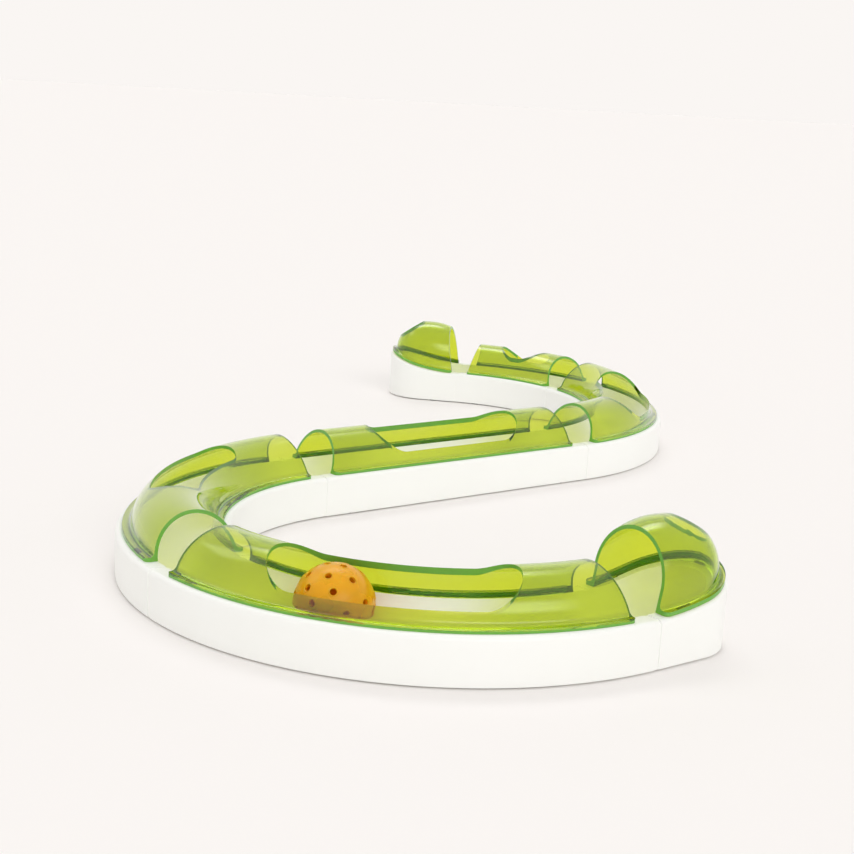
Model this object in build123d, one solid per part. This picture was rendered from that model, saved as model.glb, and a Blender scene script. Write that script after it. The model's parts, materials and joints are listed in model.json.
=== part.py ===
from build123d import *
import math
import os

# Plan of the track: two arcs that bend opposite ways, with a straight between them
track_radius = 155.0  # centreline of the curved lanes
curve_turn = 90.0  # turn of a full curve, degrees
short_turn = 45.0  # turn of the short curve at the back
straight_length = 233.0
straight_heading = 37.0  # heading of the straight, degrees from +X
nose_length = 35.0  # from an end piece's seam to the centre of its round nose

# Track base: a thin moulded shell, open below
base_half_width = 33.0
rim_height = 27.0
skin = 2.2
lane_radius = 22.5
skirt_gap = 1.0  # room between the skirt and the floor
rim_round = 3.0
inner_round = 0.8
end_wall = 2.2
rise_radius = 168.0  # the rim and the lane of an end piece climb on this arc
strip_length = 1.5  # each base's share of the sunk strip round a seam
strip_depth = 0.4

# Connector at each seam: a tongue on one side, a slot on the other
tongue_width = 5.0
tongue_height = 8.0
tongue_length = 8.0
tongue_offset = 26.5
tongue_level = 12.0
tongue_clearance = 0.3

# Rubber feet and their bosses
foot_radius = 4.0
foot_thickness = 1.5
foot_offset = 26.5
foot_inset = 22.0  # from a seam to the nearest feet, along the centreline

# Tunnel covers
cover_wall = 2.0
flange_half_width = 29.5
flange_thickness = 2.2
flange_round = 1.0
flange_corner = 3.5
arch_root_round = 3.0
cover_setback = 10.0  # from a seam to the cover's edge at the rim
cover_lean = 16.0  # the open edge of a cover leans back, degrees
window_half_width = 20.2
window_length = 127.0
window_tilt = 13.0  # the window faces outwards by this angle from straight up
short_window_length = 46.0
top_window_half_width = 14.2  # the left curve has a narrower window, which faces straight up
top_window_length = 108.0

# Cover tabs, which drop into slots in the rim
tab_length = 9.0
tab_thickness = 1.6
tab_depth = 7.0
tab_offset = 27.0
tab_inset = 16.0  # from a cover's edge to the middle of its outer tabs
tab_clearance = 0.3

# Domed covers of the end pieces
dome_radius = 28.0  # at the nose
dome_axis_height = 41.5
dome_waist_radius = 27.2  # half way to the nose
dome_waist_axis_height = 40.6
dome_mouth_radius = 23.6  # at the seam
dome_mouth_axis_height = 36.6
dome_setback = 6.0
dome_lean = 9.0
dome_flange_half_width = 31.5
dome_root_round = 2.5
seat_clearance = 0.3  # between the curved rim of an end piece and its cover
dome_hole_radius = 13.0
dome_hole_tilt = 34.0  # the hole faces the nose by this angle from straight up
dome_tab_station = 22.0

# Ball and the bead in it
ball_radius = 21.0
ball_wall = 1.8
ball_angle = -109.0  # where the ball lies on the first arc
ball_clearance = 0.3
ball_seam_tilt = 35.0
ball_hole_radius = 1.8
ball_hole_bands = ((18.0, 10), (43.0, 8), (68.0, 4))  # latitude in degrees, holes
bead_radius = 4.0
bead_clearance = 0.4

# Worked out from the sizes above
rise_axis_height = rim_height + rise_radius
overrun = 6.0  # how far cutters pass the faces that they cut
sky = rise_axis_height / 2  # well above everything on the track


class Curve:
    # A lane round the local Z axis, from angle zero, with +X outwards
    def __init__(self, turn):
        self.turn = turn
        self.length = track_radius * math.radians(turn)

    def sweep(self, section, inset=0.0):
        trim = math.degrees(inset / track_radius)
        ring = revolve(Plane.XZ * Pos(track_radius, 0) * section, Axis.Z, self.turn - 2 * trim)
        return Rot(0, 0, trim) * ring

    def station(self, along):
        return Rot(0, 0, math.degrees(along / track_radius)) * Pos(track_radius, 0, 0)


class Straight:
    # A lane along local +Y from the origin
    def __init__(self, length):
        self.length = length

    def sweep(self, section, inset=0.0):
        bar = extrude(Plane.XZ * section, self.length - 2 * inset, dir=(0, 1, 0))
        return Pos(0, inset, 0) * bar

    def station(self, along):
        return Pos(0, along, 0)


def run_ends(run, inset=0.0):
    # Frames at both ends of a lane, with +Y pointing out of it
    return [run.station(inset) * Rot(0, 0, 180), run.station(run.length - inset)]


def base_outline(shrink=0.0):
    width = 2 * (base_half_width - shrink)
    height = rim_height - skirt_gap - shrink
    slab = Pos(0, skirt_gap + height / 2) * Rectangle(width, height)
    return fillet(slab.vertices().group_by(Axis.Y)[-1], rim_round)


def base_hollow():
    height = rim_height - skin
    hollow = Pos(0, height / 2) * Rectangle(2 * (base_half_width - skin), height)
    hollow = fillet(hollow.vertices().group_by(Axis.Y)[-1], inner_round)
    return hollow - Pos(0, rim_height) * Circle(lane_radius + skin)


def box_between(low, high):
    size = [b - a for a, b in zip(low, high)]
    middle = [(a + b) / 2 for a, b in zip(low, high)]
    return Pos(*middle) * Box(*size)


def tongue():
    half = tongue_width / 2
    low = (tongue_offset - half, -end_wall, tongue_level - tongue_height / 2)
    high = (tongue_offset + half, tongue_length, tongue_level + tongue_height / 2)
    return box_between(low, high)


def tongue_slot():
    half = tongue_width / 2 + tongue_clearance
    rise = tongue_height / 2 + tongue_clearance
    low = (-tongue_offset - half, -end_wall - overrun, tongue_level - rise)
    high = (-tongue_offset + half, overrun, tongue_level + rise)
    return box_between(low, high)


def seam_strip():
    collar = Pos(0, rim_height / 2) * Rectangle(2 * (base_half_width + overrun), rim_height + 2 * overrun)
    band = extrude(Plane.XZ * (collar - base_outline(strip_depth)), strip_length + overrun, dir=(0, 1, 0))
    return Pos(0, -strip_length, 0) * band


def join_seam(base, end):
    return base - end * seam_strip() + end * tongue() - end * tongue_slot()


def foot_boss(top):
    return Pos(0, 0, (foot_thickness + top) / 2) * Cylinder(foot_radius, top - foot_thickness)


def foot():
    return Pos(0, 0, foot_thickness / 2) * Cylinder(foot_radius, foot_thickness)


def run_feet(run):
    places = []
    for along in (foot_inset, run.length - foot_inset):
        for side in (-foot_offset, foot_offset):
            places.append(run.station(along) * Pos(side, 0, 0))
    return places


def run_tabs(run):
    places = []
    inset = cover_setback + tab_inset
    for along in (inset, run.length / 2, run.length - inset):
        for side in (-tab_offset, tab_offset):
            places.append(run.station(along) * Pos(side, 0, rim_height))
    return places


def tab():
    half_wide = tab_thickness / 2
    half_long = tab_length / 2
    return box_between((-half_wide, -half_long, -tab_depth), (half_wide, half_long, flange_thickness / 2))


def tab_slot():
    wide = tab_thickness + 2 * tab_clearance
    long = tab_length + 2 * tab_clearance
    return Box(wide, long, 2 * (tab_depth + tab_clearance))


def run_base(run):
    base = run.sweep(base_outline()) - run.sweep(base_hollow(), end_wall)
    for place in run_feet(run):
        base += place * foot_boss(rim_height - skin / 2)
    base -= run.sweep(Pos(0, rim_height) * Circle(lane_radius), -overrun)
    for place in run_tabs(run):
        base -= place * tab_slot()
    for end in run_ends(run):
        base = join_seam(base, end)
    return base


def arch_section():
    top = rim_height + flange_thickness
    arch_radius = lane_radius + cover_wall
    flange = Pos(0, rim_height + flange_thickness / 2) * Rectangle(2 * flange_half_width, flange_thickness)
    flange = fillet(flange.vertices().group_by(Axis.Y)[-1], flange_round)
    above = Pos(0, rim_height + arch_radius) * Rectangle(4 * arch_radius, 2 * arch_radius)
    section = flange + (Pos(0, rim_height) * Circle(arch_radius) & above)
    roots = [v for v in section.vertices() if abs(v.Y - top) < 0.01 and abs(v.X) < arch_radius]
    section = fillet(roots, arch_root_round)
    return section - Pos(0, rim_height) * Circle(lane_radius)


def lean_cutter(lean):
    size = 2 * (base_half_width + overrun)
    return Pos(0, 0, rim_height) * Rot(lean, 0, 0) * Pos(0, size / 2, 0) * Box(size, size, 2 * size)


def corner_cutter(half_width, side):
    corner = Pos(side * half_width, 0) * Rectangle(2 * flange_corner, 2 * flange_corner)
    corner -= Pos(side * (half_width - flange_corner), -flange_corner) * Circle(flange_corner)
    return extrude(corner, sky)


def trim_opening(cover, end, half_width, lean):
    cover -= end * lean_cutter(lean)
    for side in (-1, 1):
        cover -= end * corner_cutter(half_width, side)
    return cover


def run_window(run, length, half_width, tilt):
    reach = 2 * lane_radius
    inset = (run.length - length) / 2 + half_width
    slab = Pos(0, reach / 2) * Rectangle(2 * half_width, reach)
    cutter = run.sweep(Pos(0, rim_height) * Rot(0, 0, -tilt) * slab, inset)
    for along in (inset, run.length - inset):
        mouth = Rot(0, tilt, 0) * Pos(0, 0, reach / 2) * Cylinder(half_width, reach)
        cutter += run.station(along) * Pos(0, 0, rim_height) * mouth
    return cutter


def run_cover(run, window):
    cover = run.sweep(arch_section(), cover_setback)
    for end in run_ends(run, cover_setback):
        cover = trim_opening(cover, end, flange_half_width, cover_lean)
    cover -= run_window(run, *window)
    for place in run_tabs(run):
        cover += place * tab()
    return cover


def round_ended(half_width, start, end):
    # Straight sides from the start to the end, then a half circle
    sides = Polyline((half_width, end), (half_width, start), (-half_width, start), (-half_width, end))
    return make_face(sides + CenterArc((0, end), half_width, 0, 180))


def nose_outline(half_width, start):
    return round_ended(half_width, start, nose_length)


def rise_drum(radius):
    # The rim of an end piece is the underside of this drum
    return Pos(0, 0, rise_axis_height) * Rot(0, 90, 0) * Cylinder(radius, 4 * base_half_width)


def rise_level(along):
    return rise_axis_height - math.sqrt(rise_radius**2 - along**2)


def rising_lane(radius):
    climb = math.degrees(nose_length / rise_radius)
    axis = Axis((0, 0, rise_axis_height), (1, 0, 0))
    tube = revolve(Plane.XZ * Pos(0, rim_height) * Circle(radius), axis, climb)
    bowl_along = rise_radius * math.sin(math.radians(climb))
    bowl = Pos(0, bowl_along, rise_level(bowl_along)) * Sphere(radius)
    mouth = Pos(0, -overrun / 2, rim_height) * Rot(90, 0, 0) * Cylinder(radius, overrun)
    return tube + bowl + mouth


def end_feet():
    places = [Pos(side, foot_inset, 0) for side in (-foot_offset, foot_offset)]
    places.append(Pos(0, nose_length + foot_offset, 0))
    return places


def end_tabs():
    places = [Pos(side, dome_tab_station, rise_level(dome_tab_station)) for side in (-tab_offset, tab_offset)]
    nose_tab = nose_length + tab_offset
    places.append(Pos(0, nose_tab, rise_level(nose_tab)) * Rot(0, 0, 90))
    return places


def end_base():
    body = Pos(0, 0, skirt_gap) * extrude(nose_outline(base_half_width, 0), sky) - rise_drum(rise_radius)
    rim = body.faces().filter_by(GeomType.CYLINDER).sort_by(Axis.Z)[-1]
    body = fillet([e for e in rim.edges() if e.center().Y > strip_length], rim_round)
    hollow = extrude(nose_outline(base_half_width - skin, end_wall), sky)
    hollow = hollow - rise_drum(rise_radius + skin) - rising_lane(lane_radius + skin)
    base = body - hollow
    for place in end_feet():
        top = rise_level(place.position.Y) - skin / 2
        base += place * foot_boss(top)
    base -= rising_lane(lane_radius)
    for place in end_tabs():
        base -= place * tab_slot()
    return join_seam(base, Rot(0, 0, 180))


def dome_solid(shrink=0.0):
    # A hood that swells from the seam to the nose, and a rounded nose
    low = rim_height - overrun
    mouth = round_ended(dome_mouth_radius - shrink, low, dome_mouth_axis_height)
    waist = round_ended(dome_waist_radius - shrink, low, dome_waist_axis_height)
    arch = round_ended(dome_radius - shrink, low, dome_axis_height)
    half = arch & Pos(dome_radius, dome_axis_height) * Rectangle(2 * dome_radius, 4 * dome_axis_height)
    stations = [(mouth, 0), (waist, nose_length / 2), (arch, nose_length)]
    hood = loft([Pos(0, along, 0) * (Plane.XZ * face) for face, along in stations])
    nose = Pos(0, nose_length, 0) * revolve(Plane.XZ * half, Axis.Z, 180)
    return hood + nose


def is_dome_root(edge):
    flange_top = rise_radius - seat_clearance - flange_thickness
    for share in (0.25, 0.75):
        spot = edge @ share
        climb = math.hypot(spot.Y, spot.Z - rise_axis_height)
        spread = math.hypot(spot.X, max(spot.Y - nose_length, 0))
        if abs(climb - flange_top) > 0.05 or spread > dome_flange_half_width - 1 or spot.Y < 1:
            return False
    return True


def end_cover():
    seat = rise_drum(rise_radius - seat_clearance)
    plate = extrude(nose_outline(dome_flange_half_width, 0), sky)
    plate = plate & seat
    plate -= rise_drum(rise_radius - seat_clearance - flange_thickness)
    cover = plate + (dome_solid() & seat)
    cover = fillet([e for e in cover.edges() if is_dome_root(e)], dome_root_round)
    cover -= dome_solid(cover_wall)
    opening = Pos(0, dome_setback, 0) * Rot(0, 0, 180)
    cover = trim_opening(cover, opening, dome_flange_half_width, dome_lean)
    hole = Pos(0, 0, sky / 2) * Cylinder(dome_hole_radius, sky)
    cover -= Pos(0, nose_length, dome_axis_height) * Rot(-dome_hole_tilt, 0, 0) * hole
    for place in end_tabs():
        cover += place * tab()
    return cover


def ball_half():
    shell = Sphere(ball_radius) - Sphere(ball_radius - ball_wall)
    half = split(shell, bisect_by=Plane.XY, keep=Keep.TOP)
    drill = Rot(0, 90, 0) * Pos(0, 0, ball_radius) * Cylinder(ball_hole_radius, 2 * ball_wall + overrun)
    for latitude, count in ball_hole_bands:
        for index in range(count):
            half -= Rot(0, 0, 360 * index / count) * Rot(0, -latitude, 0) * drill
    return half


def on_circle(centre, angle):
    spread = track_radius * Vector(math.cos(math.radians(angle)), math.sin(math.radians(angle)))
    return centre + spread


def name_all(prefix, base, cover, feet):
    return {f"{prefix}_base": base, f"{prefix}_cover": cover, f"{prefix}_feet": feet}


# Where the pieces lie, first round the first arc's centre
first_seam = straight_heading - 90
last_seam = first_seam + curve_turn + short_turn
first_centre = Vector(0, 0)
straight_start = on_circle(first_centre, straight_heading + 90)
heading = Vector(math.cos(math.radians(straight_heading)), math.sin(math.radians(straight_heading)))
straight_end = straight_start + heading * straight_length
second_centre = on_circle(straight_end, straight_heading + 90)
last_start = on_circle(second_centre, last_seam)
nose_rise = nose_length * math.sin(math.radians(last_seam + 90))

# The origin is on the floor, in the middle of the track's plan
outer_radius = track_radius + base_half_width
front_edge = first_centre.Y - outer_radius
back_edge = last_start.Y + nose_rise + base_half_width
middle = Vector((first_centre.X + second_centre.X) / 2, (front_edge + back_edge) / 2)


def placed(point, angle):
    spot = point - middle
    return Pos(spot.X, spot.Y, 0) * Rot(0, 0, angle)


curve = Curve(curve_turn)
short_curve = Curve(short_turn)
straight = Straight(straight_length)

side_window = (window_length, window_half_width, window_tilt)
short_window = (short_window_length, window_half_width, window_tilt)
top_window = (top_window_length, top_window_half_width, 0.0)

runs = {
    "front_curve": (curve, side_window, placed(first_centre, first_seam - curve_turn)),
    "left_curve": (curve, top_window, placed(first_centre, first_seam - 2 * curve_turn)),
    "straight": (straight, side_window, placed(straight_start, straight_heading - 90)),
    "right_curve": (curve, side_window, placed(second_centre, first_seam)),
    "back_curve": (short_curve, short_window, placed(second_centre, first_seam + curve_turn)),
}
ends = {
    "front_end": placed(on_circle(first_centre, first_seam), first_seam),
    "back_end": placed(last_start, last_seam),
}

nodes = {}
for name, (run, window, place) in runs.items():
    feet = [place * spot * foot() for spot in run_feet(run)]
    nodes.update(name_all(name, place * run_base(run), place * run_cover(run, window), Compound(feet)))
for name, place in ends.items():
    feet = [place * spot * foot() for spot in end_feet()]
    nodes.update(name_all(name, place * end_base(), place * end_cover(), Compound(feet)))

ball_level = rim_height - lane_radius + ball_clearance + ball_radius
ball_place = placed(first_centre, ball_angle) * Pos(track_radius, 0, ball_level)
bead_drop = ball_radius - ball_wall - bead_clearance - bead_radius
nodes["ball_upper_half"] = ball_place * Rot(ball_seam_tilt, 0, 0) * ball_half()
nodes["ball_lower_half"] = ball_place * Rot(ball_seam_tilt + 180, 0, 0) * ball_half()
nodes["rattle_bead"] = ball_place * Pos(0, 0, -bead_drop) * Sphere(bead_radius)

os.makedirs("parts", exist_ok=True)
for name, shape in nodes.items():
    export_step(shape, f"parts/{name}.step")
print("first arc centre", first_centre - middle, "second arc centre", second_centre - middle)
print("ball centre", ball_place.position, "node count", len(nodes))
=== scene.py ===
import json
import math

import bmesh
import bpy
from mathutils import Matrix, Vector

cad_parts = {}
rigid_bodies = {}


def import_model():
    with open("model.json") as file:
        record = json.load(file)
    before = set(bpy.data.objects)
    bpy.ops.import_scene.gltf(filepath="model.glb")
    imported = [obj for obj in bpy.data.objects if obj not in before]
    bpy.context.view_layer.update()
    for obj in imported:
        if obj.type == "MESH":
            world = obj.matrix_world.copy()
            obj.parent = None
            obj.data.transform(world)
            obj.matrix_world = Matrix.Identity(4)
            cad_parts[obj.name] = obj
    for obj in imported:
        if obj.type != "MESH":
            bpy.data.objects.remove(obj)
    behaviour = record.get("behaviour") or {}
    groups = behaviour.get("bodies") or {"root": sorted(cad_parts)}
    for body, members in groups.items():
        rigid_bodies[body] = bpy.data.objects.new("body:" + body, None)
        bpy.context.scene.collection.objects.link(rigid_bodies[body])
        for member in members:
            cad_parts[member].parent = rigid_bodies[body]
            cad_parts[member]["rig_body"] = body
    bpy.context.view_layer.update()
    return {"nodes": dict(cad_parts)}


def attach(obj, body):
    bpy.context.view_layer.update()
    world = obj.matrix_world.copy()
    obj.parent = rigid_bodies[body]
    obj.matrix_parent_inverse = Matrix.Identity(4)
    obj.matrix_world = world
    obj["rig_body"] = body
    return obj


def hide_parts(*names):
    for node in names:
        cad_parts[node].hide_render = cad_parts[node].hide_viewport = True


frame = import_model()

print("frame loaded with", len(frame["nodes"]), "CAD pieces")


# node helpers
def newMaterial(name):
    material = bpy.data.materials.new(name)
    material.use_nodes = True
    tree = material.node_tree
    return material, tree, tree.nodes["Principled BSDF"]


def addNode(tree, kind, **values):
    node = tree.nodes.new(kind)
    for socket, value in values.items():
        node.inputs[socket.replace("_", " ")].default_value = value
    return node


def mathNode(tree, operation, *values):
    node = tree.nodes.new("ShaderNodeMath")
    node.operation = operation
    for socket, value in zip(node.inputs, values):
        if isinstance(value, float):
            socket.default_value = value
        else:
            tree.links.new(value, socket)
    return node.outputs["Value"]


# fine skin of moulded plastic plus slow drift in tone
grainSettings = {
    "fineDetail": 3.0,
    "fineRoughness": 0.6,
    "slowDetail": 2.0,
    "slowRoughness": 0.5,
    "usualRange": (0.35, 0.65),
}


def mouldGrainGroup():
    s = grainSettings
    tree = bpy.data.node_groups.new("mouldGrain", "ShaderNodeTree")
    tree.interface.new_socket("Grain Scale", in_out="INPUT", socket_type="NodeSocketFloat")
    tree.interface.new_socket("Drift Scale", in_out="INPUT", socket_type="NodeSocketFloat")
    tree.interface.new_socket("Grain", in_out="OUTPUT", socket_type="NodeSocketFloat")
    tree.interface.new_socket("Drift", in_out="OUTPUT", socket_type="NodeSocketFloat")
    given = tree.nodes.new("NodeGroupInput")
    result = tree.nodes.new("NodeGroupOutput")
    place = tree.nodes.new("ShaderNodeTexCoord")
    fine = addNode(tree, "ShaderNodeTexNoise", Detail=s["fineDetail"], Roughness=s["fineRoughness"])
    slow = addNode(tree, "ShaderNodeTexNoise", Detail=s["slowDetail"], Roughness=s["slowRoughness"])
    for noise, size, out in ((fine, "Grain Scale", "Grain"), (slow, "Drift Scale", "Drift")):
        tree.links.new(place.outputs["Object"], noise.inputs["Vector"])
        tree.links.new(given.outputs[size], noise.inputs["Scale"])
        tree.links.new(noise.outputs["Fac"], result.inputs[out])
    return tree


mouldGrain = mouldGrainGroup()


def addGrain(tree, grainScale, driftScale):
    grain = tree.nodes.new("ShaderNodeGroup")
    grain.node_tree = mouldGrain
    grain.inputs["Grain Scale"].default_value = grainScale
    grain.inputs["Drift Scale"].default_value = driftScale
    return grain


def driveRange(tree, source, target, low, high):
    least, most = grainSettings["usualRange"]
    spread = addNode(tree, "ShaderNodeMapRange", From_Min=least, From_Max=most, To_Min=low, To_Max=high)
    tree.links.new(source, spread.inputs["Value"])
    tree.links.new(spread.outputs["Result"], target)


def driveBump(tree, source, shader, strength, distance):
    bump = addNode(tree, "ShaderNodeBump", Strength=strength, Distance=distance)
    tree.links.new(source, bump.inputs["Height"])
    tree.links.new(bump.outputs["Normal"], shader.inputs["Normal"])


def driveTone(tree, source, shader, first, second):
    tone = tree.nodes.new("ShaderNodeMix")
    tone.data_type = "RGBA"
    tone.inputs["A"].default_value = (*first, 1)
    tone.inputs["B"].default_value = (*second, 1)
    tree.links.new(source, tone.inputs["Factor"])
    tree.links.new(tone.outputs["Result"], shader.inputs["Base Color"])


def mouldedPlastic(name, s, roughnessFrom="Drift"):
    # drifting tone and roughness, and a fine skin where the settings give a bump
    material, tree, shader = newMaterial(name)
    grain = addGrain(tree, s["grain"], s["drift"])
    driveTone(tree, grain.outputs["Drift"], shader, s["tone"], s["shade"])
    driveRange(tree, grain.outputs[roughnessFrom], shader.inputs["Roughness"], *s["roughness"])
    if "bump" in s:
        driveBump(tree, grain.outputs["Grain"], shader, *s["bump"])
    return material, shader


whitePlasticSettings = {
    "tone": (0.945, 0.95, 0.925),
    "shade": (0.915, 0.925, 0.89),
    "roughness": (0.28, 0.40),
    "grain": 900.0,
    "drift": 14.0,
    "bump": (0.06, 0.0002),
    "ior": 1.46,
}


def whitePlastic():
    s = whitePlasticSettings
    material, shader = mouldedPlastic("whitePlastic", s)
    shader.inputs["IOR"].default_value = s["ior"]
    return material


clearGreenSettings = {
    "tint": (0.73, 0.77, 0.045),
    "absorbColor": (0.36, 0.80, 0.40),
    "absorbDensity": 80.0,
    "roughness": (0.02, 0.06),
    "grain": 1200.0,
    "drift": 22.0,
    "bump": (0.02, 0.0004),
    "ior": 1.2,
    "coat": 0.9,
}


def clearGreen():
    s = clearGreenSettings
    material, tree, shader = newMaterial("clearGreen")
    grain = addGrain(tree, s["grain"], s["drift"])
    driveRange(tree, grain.outputs["Drift"], shader.inputs["Roughness"], *s["roughness"])
    driveBump(tree, grain.outputs["Drift"], shader, *s["bump"])
    shader.inputs["Base Color"].default_value = (*s["tint"], 1)
    shader.inputs["Transmission Weight"].default_value = 1.0
    shader.inputs["IOR"].default_value = s["ior"]
    shader.inputs["Coat Weight"].default_value = s["coat"]
    dye = {"Color": (*s["absorbColor"], 1), "Density": s["absorbDensity"]}
    absorb = addNode(tree, "ShaderNodeVolumeAbsorption", **dye)
    tree.links.new(absorb.outputs["Volume"], tree.nodes["Material Output"].inputs["Volume"])
    return material


orangePlasticSettings = {
    "tone": (1.0, 0.51, 0.008),
    "shade": (1.0, 0.45, 0.006),
    "roughness": (0.22, 0.32),
    "grain": 1400.0,
    "drift": 60.0,
    "bump": (0.03, 0.0001),
    "ior": 1.49,
    "clear": 0.25,
    "shine": 0.2,
    "glow": 0.35,
    "glowReach": 0.005,
    "glowColours": (1.0, 0.55, 0.1),
}


def orangePlastic():
    s = orangePlasticSettings
    material, shader = mouldedPlastic("orangePlastic", s)
    shader.inputs["Transmission Weight"].default_value = s["clear"]
    shader.inputs["IOR"].default_value = s["ior"]
    shader.inputs["Specular IOR Level"].default_value = s["shine"]
    shader.inputs["Subsurface Weight"].default_value = s["glow"]
    shader.inputs["Subsurface Radius"].default_value = s["glowColours"]
    shader.inputs["Subsurface Scale"].default_value = s["glowReach"]
    return material


# cut faces of the clear plastic: an opaque mid-green painted on them, a painted edge glow standing in
# for the light that piles up in the plastic's edges, over the plastic's own green
paintedEdgeGlowSettings = {
    "tone": (0.16, 0.44, 0.06),
    "shade": (0.13, 0.38, 0.05),
    "roughness": (0.15, 0.25),
    "grain": 1200.0,
    "drift": 22.0,
}
footRubberSettings = {
    "tone": (0.05, 0.05, 0.055),
    "shade": (0.03, 0.03, 0.033),
    "roughness": (0.7, 0.9),
    "grain": 2600.0,
    "drift": 90.0,
    "bump": (0.25, 0.0002),
}
beadPlasticSettings = {
    "tone": (0.80, 0.76, 0.66),
    "shade": (0.74, 0.70, 0.60),
    "roughness": (0.35, 0.5),
    "grain": 1800.0,
    "drift": 120.0,
}
finishes = {
    "base": whitePlastic(),
    "cover": clearGreen(),
    "feet": mouldedPlastic("footRubber", footRubberSettings, "Grain")[0],
    "half": orangePlastic(),
    "bead": mouldedPlastic("beadPlastic", beadPlasticSettings)[0],
    # the cut faces get an opaque green: painted edge glow over the plastic's own green
    "cut": mouldedPlastic("cutEdge", paintedEdgeGlowSettings)[0],
}
print("finishes made:", ", ".join(finishes))

# plan of the runs: centre, start angle and turn of each arc, and the straight's heading and length
planSettings = {
    "radius": 0.155,
    "rim": 0.027,
    "centres": {"first": (0.00024, -0.195581), "second": (-0.00024, 0.192219)},
    "arcs": {
        "front_curve": ("first", -143.0, 90.0),
        "left_curve": ("first", -233.0, 90.0),
        "right_curve": ("second", -53.0, 90.0),
        "back_curve": ("second", 37.0, 45.0),
    },
    "straight": ("first", 127.0, 37.0, 0.233),
}


def arcSpot(centre, angle):
    x, y = planSettings["centres"][centre]
    turn = math.radians(angle)
    return Vector((x, y, 0)) + planSettings["radius"] * Vector((math.cos(turn), math.sin(turn), 0))


def straightPath():
    centre, start, heading, length = planSettings["straight"]
    turn = math.radians(heading)
    return arcSpot(centre, start), Vector((math.cos(turn), math.sin(turn), 0)), length


def laneAt(run, spot):
    # middle of the lane beside a spot at rim height, and the way the lane goes there
    s = planSettings
    rim = Vector((0, 0, s["rim"]))
    if run in s["arcs"]:
        centre = Vector((*s["centres"][s["arcs"][run][0]], 0))
        outwards = Vector((spot.x - centre.x, spot.y - centre.y, 0)).normalized()
        return centre + outwards * s["radius"] + rim, Vector((-outwards.y, outwards.x, 0))
    first, ahead, length = straightPath()
    return first + ahead * (spot - first).dot(ahead) + rim, ahead


# cut faces of the covers: open ends, flange sides, windows and holes, which get the opaque green of the
# painted edge glow
cutSettings = {
    "upright": 0.3,
    "endFacing": 0.6,
    "windowFacing": 0.93,
    "windowLow": 0.0326,
    "windowUp": 0.1,  # the side that faces up lets the lane show through
    "flangeReach": 0.0285,
    "stripAngle": 18.0,
    "stripWidth": 0.003,
    "stripBorder": 0.06,
}


def archCuts(work, run):
    # faces left by the open ends, the flange's sides and the window
    s = cutSettings
    cuts = []
    for face in work.faces:
        spot = face.calc_center_median()
        middle, ahead = laneAt(run, spot)
        outwards = spot - middle
        upright = abs(face.normal.z) < s["upright"]
        atSide = upright and outwards.length > s["flangeReach"]
        atEnd = upright and abs(face.normal.dot(ahead)) > s["endFacing"]
        crossed = abs(face.normal.dot(outwards.normalized())) < s["windowFacing"]
        atWindow = crossed and spot.z > s["windowLow"] and face.normal.z < s["windowUp"]
        if atSide or atEnd or atWindow:
            cuts.append(face)
    return cuts


def flatPatch(first, limit, seen):
    # faces that join a first one without a sharp edge, and the length of their border
    patch, todo, border = [], [first], 0.0
    seen.add(first)
    while todo:
        face = todo.pop()
        patch.append(face)
        for edge in face.edges:
            if len(edge.link_faces) != 2 or edge.calc_face_angle(0.0) >= limit:
                border += edge.calc_length()
                continue
            for near in edge.link_faces:
                if near not in seen:
                    seen.add(near)
                    todo.append(near)
    return patch, border


def domeCuts(work):
    # long narrow strips between sharp edges
    s = cutSettings
    seen, cuts = set(), []
    for first in work.faces:
        if first in seen:
            continue
        patch, border = flatPatch(first, math.radians(s["stripAngle"]), seen)
        width = 2 * sum(face.calc_area() for face in patch) / border
        if width < s["stripWidth"] and border > s["stripBorder"]:
            cuts += patch
    return cuts


# smooth shells over the CAD pieces
shellSettings = {
    "mergeDistance": 2e-6,
    "sharpAngle": 32.0,
    "coverLift": 0.00006,  # keeps the covers' flat undersides off the rims
}


def smoothShell(nodeName, kind):
    source = frame["nodes"][nodeName]
    mesh = source.data.copy()
    mesh.materials.clear()
    mesh.materials.append(finishes[kind])
    # a second slot holds the opaque green of the painted edge glow, for the cut faces
    if kind == "cover":
        mesh.materials.append(finishes["cut"])
    work = bmesh.new()
    work.from_mesh(mesh)
    bmesh.ops.remove_doubles(work, verts=work.verts, dist=shellSettings["mergeDistance"])
    limit = math.radians(shellSettings["sharpAngle"])
    for edge in work.edges:
        edge.smooth = len(edge.link_faces) == 2 and edge.calc_face_angle(0.0) < limit
    for face in work.faces:
        face.smooth = True
    if kind == "cover":
        run = nodeName[: -len("_cover")]
        # the cut faces take the painted edge glow in place of the clear plastic
        for face in domeCuts(work) if run.endswith("_end") else archCuts(work, run):
            face.material_index = 1
        bmesh.ops.translate(work, verts=work.verts, vec=(0, 0, shellSettings["coverLift"]))
    work.to_mesh(mesh)
    work.free()
    if "custom_normal" in mesh.attributes:
        mesh.attributes.remove(mesh.attributes["custom_normal"])
    shell = bpy.data.objects.new(nodeName + "_shell", mesh)
    bpy.context.scene.collection.objects.link(shell)
    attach(shell, source["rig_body"])
    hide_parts(nodeName)


for nodeName in frame["nodes"]:
    smoothShell(nodeName, nodeName.split("_")[-1])
print("shells made")


# geometry node helpers
def newGrowth(name, inputs):
    tree = bpy.data.node_groups.new(name, "GeometryNodeTree")
    tree.interface.new_socket("Geometry", in_out="OUTPUT", socket_type="NodeSocketGeometry")
    for socket, kind in inputs.items():
        tree.interface.new_socket(socket, in_out="INPUT", socket_type="NodeSocket" + kind)
    return tree, tree.nodes.new("NodeGroupInput"), tree.nodes.new("NodeGroupOutput")


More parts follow.
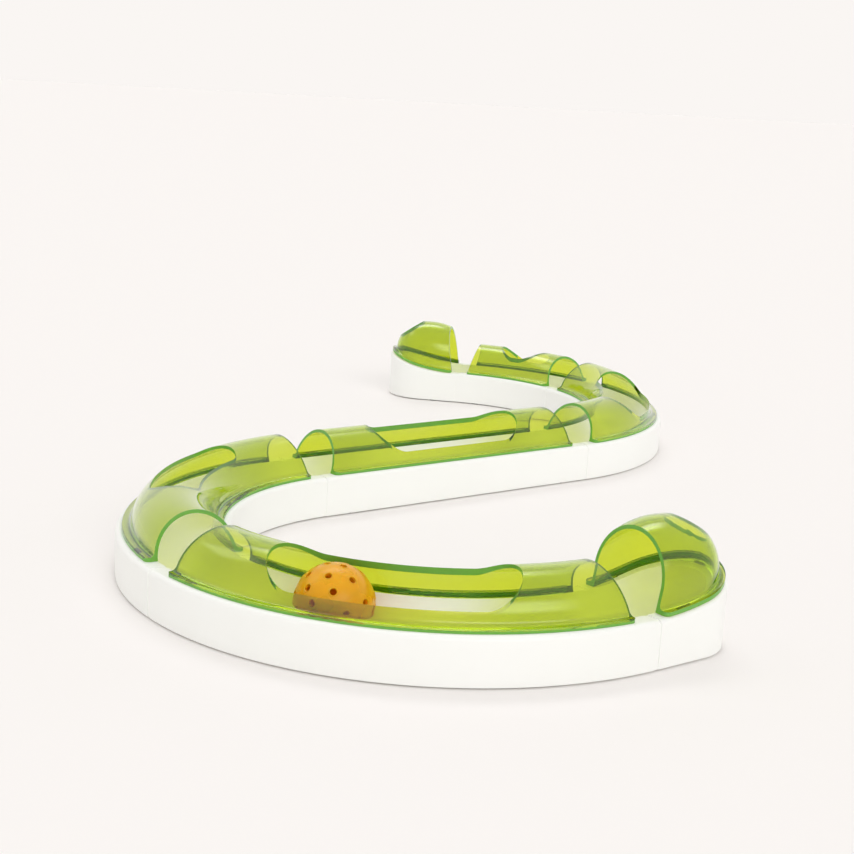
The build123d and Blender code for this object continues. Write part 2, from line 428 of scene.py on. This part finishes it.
def endGrowth(tree, given, result, instances, smooth):
    real = tree.nodes.new("GeometryNodeRealizeInstances")
    shade = tree.nodes.new("GeometryNodeSetShadeSmooth")
    shade.inputs["Shade Smooth"].default_value = smooth
    paint = tree.nodes.new("GeometryNodeSetMaterial")
    tree.links.new(instances, real.inputs["Geometry"])
    tree.links.new(real.outputs["Geometry"], shade.inputs["Geometry"])
    tree.links.new(shade.outputs["Geometry"], paint.inputs["Geometry"])
    tree.links.new(given.outputs["Material"], paint.inputs["Material"])
    tree.links.new(paint.outputs["Geometry"], result.inputs["Geometry"])


def grownMesh(tree, start, values):
    # runs a node group on a mesh and keeps the plain result
    holder = bpy.data.objects.new(tree.name, start)
    bpy.context.scene.collection.objects.link(holder)
    modifier = holder.modifiers.new("growth", "NODES")
    modifier.node_group = tree
    for item in tree.interface.items_tree:
        if item.in_out == "INPUT" and item.name in values:
            modifier[item.identifier] = values[item.name]
    view = bpy.context.evaluated_depsgraph_get()
    mesh = bpy.data.meshes.new_from_object(holder.evaluated_get(view))
    holder.modifiers.remove(modifier)
    bpy.data.objects.remove(holder)
    return mesh


def keepPiece(name, meshes, body, kind):
    work = bmesh.new()
    for mesh in meshes:
        work.from_mesh(mesh)
    joined = bpy.data.meshes.new(name)
    work.to_mesh(joined)
    work.free()
    joined.materials.append(finishes[kind])
    piece = bpy.data.objects.new(name, joined)
    bpy.context.scene.collection.objects.link(piece)
    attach(piece, body)


# raised lips round the holes of the ball
lipSettings = {
    "ballRadius": 0.021,
    "ringRadius": 0.00215,
    "lipRadius": 0.00045,
    "ringSteps": 28,
    "sectionSteps": 10,
    "sink": 0.00036,  # most of a lip lies in the shell, so that the ball still clears the lane
    "bands": [(18.0, 10), (43.0, 8), (68.0, 4)],
    "turn": -109.0,
    "tilts": {"ball_upper_half": 35.0, "ball_lower_half": 215.0},
}


def lipGrowth():
    inputs = {"Latitude": "Float", "Count": "Int", "Ball Radius": "Float", "Ring Radius": "Float"}
    inputs.update({"Lip Radius": "Float", "Sink": "Float", "Material": "Material"})
    tree, given, result = newGrowth("holeLips", inputs)
    reach = mathNode(tree, "SUBTRACT", given.outputs["Ball Radius"], given.outputs["Sink"])
    angle = mathNode(tree, "RADIANS", given.outputs["Latitude"])
    circle = tree.nodes.new("GeometryNodeMeshCircle")
    tree.links.new(given.outputs["Count"], circle.inputs["Vertices"])
    wide = mathNode(tree, "MULTIPLY", reach, mathNode(tree, "COSINE", angle))
    tree.links.new(wide, circle.inputs["Radius"])
    raised = tree.nodes.new("ShaderNodeCombineXYZ")
    high = mathNode(tree, "MULTIPLY", reach, mathNode(tree, "SINE", angle))
    tree.links.new(high, raised.inputs["Z"])
    band = tree.nodes.new("GeometryNodeTransform")
    tree.links.new(circle.outputs["Mesh"], band.inputs["Geometry"])
    tree.links.new(raised.outputs["Vector"], band.inputs["Translation"])
    path = tree.nodes.new("GeometryNodeCurvePrimitiveCircle")
    path.inputs["Resolution"].default_value = lipSettings["ringSteps"]
    tree.links.new(given.outputs["Ring Radius"], path.inputs["Radius"])
    section = tree.nodes.new("GeometryNodeCurvePrimitiveCircle")
    section.inputs["Resolution"].default_value = lipSettings["sectionSteps"]
    tree.links.new(given.outputs["Lip Radius"], section.inputs["Radius"])
    lip = tree.nodes.new("GeometryNodeCurveToMesh")
    tree.links.new(path.outputs["Curve"], lip.inputs["Curve"])
    tree.links.new(section.outputs["Curve"], lip.inputs["Profile Curve"])
    outwards = tree.nodes.new("FunctionNodeAlignRotationToVector")
    outwards.axis = "Z"
    place = tree.nodes.new("GeometryNodeInputPosition")
    tree.links.new(place.outputs["Position"], outwards.inputs["Vector"])
    spread = tree.nodes.new("GeometryNodeInstanceOnPoints")
    tree.links.new(band.outputs["Geometry"], spread.inputs["Points"])
    tree.links.new(lip.outputs["Mesh"], spread.inputs["Instance"])
    tree.links.new(outwards.outputs["Rotation"], spread.inputs["Rotation"])
    endGrowth(tree, given, result, spread.outputs["Instances"], True)
    return tree


def ballCentre():
    spots = [v.co for half in lipSettings["tilts"] for v in frame["nodes"][half].data.vertices]
    return Vector([(min(c) + max(c)) / 2 for c in zip(*spots)])


def holeLips():
    s = lipSettings
    tree = lipGrowth()
    centre = ballCentre()
    shared = {
        "Ball Radius": s["ballRadius"],
        "Ring Radius": s["ringRadius"],
        "Lip Radius": s["lipRadius"],
        "Sink": s["sink"],
        "Material": finishes["half"],
    }
    heading = Matrix.Rotation(math.radians(s["turn"]), 4, "Z")
    for half, tilt in s["tilts"].items():
        turn = heading @ Matrix.Rotation(math.radians(tilt), 4, "X")
        meshes = []
        for latitude, count in s["bands"]:
            values = {"Latitude": latitude, "Count": count, **shared}
            mesh = grownMesh(tree, bpy.data.meshes.new("lipStart"), values)
            mesh.transform(Matrix.Translation(centre) @ turn)
            meshes.append(mesh)
        keepPiece(half + "_lips", meshes, frame["nodes"][half]["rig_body"], "half")


holeLips()
print("hole lips made")

# ribs under the lanes, between the lane and the skirt
ribSettings = {
    "low": 0.004,
    "high": 0.0248,
    "wall": 0.0308,
    "laneUnderside": 0.0247,
    "thickness": 0.0013,
    "archSteps": 10,
    "pathSteps": 48,
    "inset": 0.045,  # clear of the tongues, the tabs and the feet
    "counts": {"front_curve": 6, "left_curve": 6, "right_curve": 6, "back_curve": 2, "straight": 6},
}


def ribPlate():
    s = ribSettings
    rim = planSettings["rim"]
    outline = [(s["wall"], s["low"]), (s["wall"], s["high"])]
    first = math.asin((rim - s["high"]) / s["laneUnderside"])
    last = math.asin((rim - s["low"]) / s["laneUnderside"])
    for index in range(s["archSteps"] + 1):
        drop = first + (last - first) * index / s["archSteps"]
        outline.append((s["laneUnderside"] * math.cos(drop), rim - s["laneUnderside"] * math.sin(drop)))
    work = bmesh.new()
    half = s["thickness"] / 2
    for side in (1, -1):
        corners = [work.verts.new((side * x, -half, z)) for x, z in outline]
        grown = bmesh.ops.extrude_face_region(work, geom=[work.faces.new(corners)])
        moved = [item for item in grown["geom"] if isinstance(item, bmesh.types.BMVert)]
        bmesh.ops.translate(work, verts=moved, vec=(0, 2 * half, 0))
    bmesh.ops.recalc_face_normals(work, faces=work.faces)
    mesh = bpy.data.meshes.new("ribPlate")
    work.to_mesh(mesh)
    work.free()
    return bpy.data.objects.new("ribPlate", mesh)


def ribGrowth():
    inputs = {"Geometry": "Geometry", "Count": "Int", "Plate": "Object", "Material": "Material"}
    tree, given, result = newGrowth("laneRibs", inputs)
    path = tree.nodes.new("GeometryNodeMeshToCurve")
    tree.links.new(given.outputs["Geometry"], path.inputs["Mesh"])
    stops = tree.nodes.new("GeometryNodeResampleCurve")
    tree.links.new(path.outputs["Curve"], stops.inputs["Curve"])
    tree.links.new(given.outputs["Count"], stops.inputs["Count"])
    plate = tree.nodes.new("GeometryNodeObjectInfo")
    tree.links.new(given.outputs["Plate"], plate.inputs["Object"])
    ahead = tree.nodes.new("FunctionNodeAlignRotationToVector")
    ahead.axis = "Y"
    ahead.pivot_axis = "Z"
    tree.links.new(tree.nodes.new("GeometryNodeInputTangent").outputs["Tangent"], ahead.inputs["Vector"])
    spread = tree.nodes.new("GeometryNodeInstanceOnPoints")
    tree.links.new(stops.outputs["Curve"], spread.inputs["Points"])
    tree.links.new(plate.outputs["Geometry"], spread.inputs["Instance"])
    tree.links.new(ahead.outputs["Rotation"], spread.inputs["Rotation"])
    endGrowth(tree, given, result, spread.outputs["Instances"], False)
    return tree


def ribPath(spots):
    mesh = bpy.data.meshes.new("ribPath")
    mesh.from_pydata(spots, [(i, i + 1) for i in range(len(spots) - 1)], [])
    return mesh


def laneRibs():
    s = ribSettings
    tree = ribGrowth()
    plate = ribPlate()
    paths = {}
    for run, (centre, start, turn) in planSettings["arcs"].items():
        trim = math.degrees(s["inset"] / planSettings["radius"])
        step = (turn - 2 * trim) / s["pathSteps"]
        angles = [start + trim + step * i for i in range(s["pathSteps"] + 1)]
        paths[run] = ribPath([arcSpot(centre, a) for a in angles])
    first, ahead, length = straightPath()
    paths["straight"] = ribPath([first + ahead * d for d in (s["inset"], length - s["inset"])])
    for run, path in paths.items():
        values = {"Count": s["counts"][run], "Plate": plate, "Material": finishes["base"]}
        mesh = grownMesh(tree, path, values)
        keepPiece(run + "_ribs", [mesh], frame["nodes"][run + "_base"]["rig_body"], "base")


laneRibs()
print("lane ribs made")

# floor, light and camera
floorSettings = {"size": 400.0, "albedo": (0.925, 0.898, 0.885), "roughness": 0.9}


def pavedFloor():
    s = floorSettings
    bpy.ops.mesh.primitive_plane_add(size=s["size"])
    floor = bpy.context.object
    floor.name = "floor"
    material, tree, shader = newMaterial("paleFloor")
    shader.inputs["Base Color"].default_value = (*s["albedo"], 1)
    shader.inputs["Roughness"].default_value = s["roughness"]
    shader.inputs["Specular IOR Level"].default_value = 0.0
    floor.data.materials.append(material)


pavedFloor()
studioSettings = {
    "base": 0.785,
    "warmth": (1.0, 0.985, 0.965),
    "backdrop": (0.956, 0.922, 0.896),
    "leastDepth": 0.001,
    "fullWithin": 0.35,  # share of a softbox that has its full strength
    "boxes": [
        {"towards": (-0.66, 0.26, 0.70), "halfWidth": 0.22, "halfHeight": 0.17, "strength": 1.2},
        {"towards": (-0.10, 0.56, 0.82), "halfWidth": 0.42, "halfHeight": 0.20, "strength": 3.2},
        {"towards": (0.35, -0.78, 0.52), "halfWidth": 0.60, "halfHeight": 0.32, "strength": 2.4},
    ],
}


def softboxGroup():
    # one where the direction falls inside a rectangle, fading at its edge
    tree = bpy.data.node_groups.new("softboxMask", "ShaderNodeTree")
    tree.interface.new_socket("Mask", in_out="OUTPUT", socket_type="NodeSocketFloat")
    for name in ("Direction", "Forward", "Right", "Up"):
        tree.interface.new_socket(name, in_out="INPUT", socket_type="NodeSocketVector")
    for name in ("Half Width", "Half Height"):
        tree.interface.new_socket(name, in_out="INPUT", socket_type="NodeSocketFloat")
    given = tree.nodes.new("NodeGroupInput")
    result = tree.nodes.new("NodeGroupOutput")

    def along(axis):
        node = tree.nodes.new("ShaderNodeVectorMath")
        node.operation = "DOT_PRODUCT"
        tree.links.new(given.outputs["Direction"], node.inputs[0])
        tree.links.new(given.outputs[axis], node.inputs[1])
        return node.outputs["Value"]

    depth = mathNode(tree, "MAXIMUM", along("Forward"), studioSettings["leastDepth"])
    full = studioSettings["fullWithin"]
    edges = []
    for axis, half in (("Right", "Half Width"), ("Up", "Half Height")):
        spread = mathNode(tree, "DIVIDE", mathNode(tree, "ABSOLUTE", along(axis)), depth)
        share = mathNode(tree, "DIVIDE", spread, given.outputs[half])
        fade = addNode(tree, "ShaderNodeMapRange", From_Min=1.0, From_Max=full, To_Min=0.0, To_Max=1.0)
        fade.interpolation_type = "SMOOTHSTEP"
        tree.links.new(share, fade.inputs["Value"])
        edges.append(fade.outputs["Result"])
    tree.links.new(mathNode(tree, "MULTIPLY", *edges), result.inputs["Mask"])
    return tree


def studioWorld():
    s = studioSettings
    world = bpy.data.worlds.new("studio")
    bpy.context.scene.world = world
    world.use_nodes = True
    tree = world.node_tree
    tree.nodes.clear()
    look = tree.nodes.new("ShaderNodeTexCoord")
    path = tree.nodes.new("ShaderNodeLightPath")
    room = addNode(tree, "ShaderNodeBackground", Color=(*s["warmth"], 1), Strength=s["base"])
    seen = addNode(tree, "ShaderNodeBackground", Color=(*s["backdrop"], 1), Strength=1.0)
    nearest = mathNode(tree, "MAXIMUM", path.outputs["Is Camera Ray"], path.outputs["Is Glossy Ray"])
    clear = mathNode(tree, "MAXIMUM", nearest, path.outputs["Is Transmission Ray"])
    plain = tree.nodes.new("ShaderNodeMixShader")
    tree.links.new(clear, plain.inputs["Fac"])
    tree.links.new(room.outputs["Background"], plain.inputs[1])
    tree.links.new(seen.outputs["Background"], plain.inputs[2])
    unseen = mathNode(tree, "SUBTRACT", 1.0, path.outputs["Is Camera Ray"])
    total = plain.outputs["Shader"]
    maskTree = softboxGroup()
    for box in s["boxes"]:
        forward = Vector(box["towards"]).normalized()
        right = forward.cross(Vector((0, 0, 1))).normalized()
        mask = tree.nodes.new("ShaderNodeGroup")
        mask.node_tree = maskTree
        mask.inputs["Forward"].default_value = forward
        mask.inputs["Right"].default_value = right
        mask.inputs["Up"].default_value = right.cross(forward)
        mask.inputs["Half Width"].default_value = box["halfWidth"]
        mask.inputs["Half Height"].default_value = box["halfHeight"]
        tree.links.new(look.outputs["Generated"], mask.inputs["Direction"])
        level = mathNode(tree, "MULTIPLY", mask.outputs["Mask"], box["strength"])
        glow = addNode(tree, "ShaderNodeBackground", Color=(1, 1, 1, 1))
        tree.links.new(mathNode(tree, "MULTIPLY", level, unseen), glow.inputs["Strength"])
        both = tree.nodes.new("ShaderNodeAddShader")
        tree.links.new(total, both.inputs[0])
        tree.links.new(glow.outputs["Background"], both.inputs[1])
        total = both.outputs["Shader"]
    output = tree.nodes.new("ShaderNodeOutputWorld")
    tree.links.new(total, output.inputs["Surface"])


studioWorld()

cameraSettings = {
    "at": (-0.00842, -1.05863, 0.27630),
    "pitchDown": 12.374,
    "roll": 3.088,
    "lens": 63.21,
    "sensor": 36.0,
    "clip": (0.01, 100.0),
}


def photoCamera():
    s = cameraSettings
    lens = bpy.data.cameras.new("photoCamera")
    lens.lens = s["lens"]
    lens.sensor_width = s["sensor"]
    lens.sensor_fit = "HORIZONTAL"
    lens.clip_start, lens.clip_end = s["clip"]
    camera = bpy.data.objects.new("photoCamera", lens)
    tilt = Matrix.Rotation(math.radians(90 - s["pitchDown"]), 4, "X")
    roll = Matrix.Rotation(math.radians(s["roll"]), 4, "Z")
    camera.matrix_world = Matrix.Translation(s["at"]) @ tilt @ roll
    bpy.context.scene.collection.objects.link(camera)
    bpy.context.scene.camera = camera


photoCamera()
bpy.context.scene.view_settings.view_transform = "Standard"
tracerSettings = {
    "max_bounces": 28,
    "glossy_bounces": 16,
    "transmission_bounces": 28,  # clear walls in a row
    "diffuse_bounces": 12,  # light inside the hollow ball
}
for limit, bounces in tracerSettings.items():
    setattr(bpy.context.scene.cycles, limit, bounces)
print("stage, lights and camera set")
